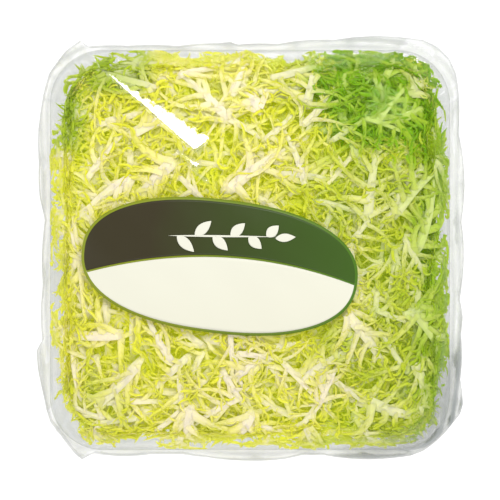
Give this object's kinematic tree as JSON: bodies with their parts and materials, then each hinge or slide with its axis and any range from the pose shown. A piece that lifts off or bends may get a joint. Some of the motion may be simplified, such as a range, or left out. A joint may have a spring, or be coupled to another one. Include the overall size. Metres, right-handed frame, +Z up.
{
  "type": "wrapped tray of curly endive",
  "caption": "Square clear tray heaped with a spread head of fine curly endive, yellow with green sprays, wrapped in slack clear printed film.",
  "frame": {"origin": "middle of the flat underside that the pack rests on", "axes": "+Z up out of the tray's mouth, +Y towards the top edge of the pack as its print is read, +X towards its right edge"},
  "size_m": [0.2396, 0.2379, 0.0646],
  "materials": {
    "clear_film": "thin glossy clear film",
    "clear_tray": "clear pressed plastic",
    "yellow_leaf": "crisp moist leaf, pale cream at the rib",
    "green_leaf": "crisp moist leaf, pale at the rib",
    "stub_flesh": "matt cut root, slightly browned",
    "cream_ink": "opaque print on film",
    "green_ink": "opaque print on film"
  },
  "bodies": {
    "root": {"film_wrap": "clear_film", "tray": "clear_tray", "yellow_leaves": "yellow_leaf", "green_leaves_right": "green_leaf", "green_leaves_top_left": "green_leaf", "root_stub": "stub_flesh"}
  },
  "joints": []
}
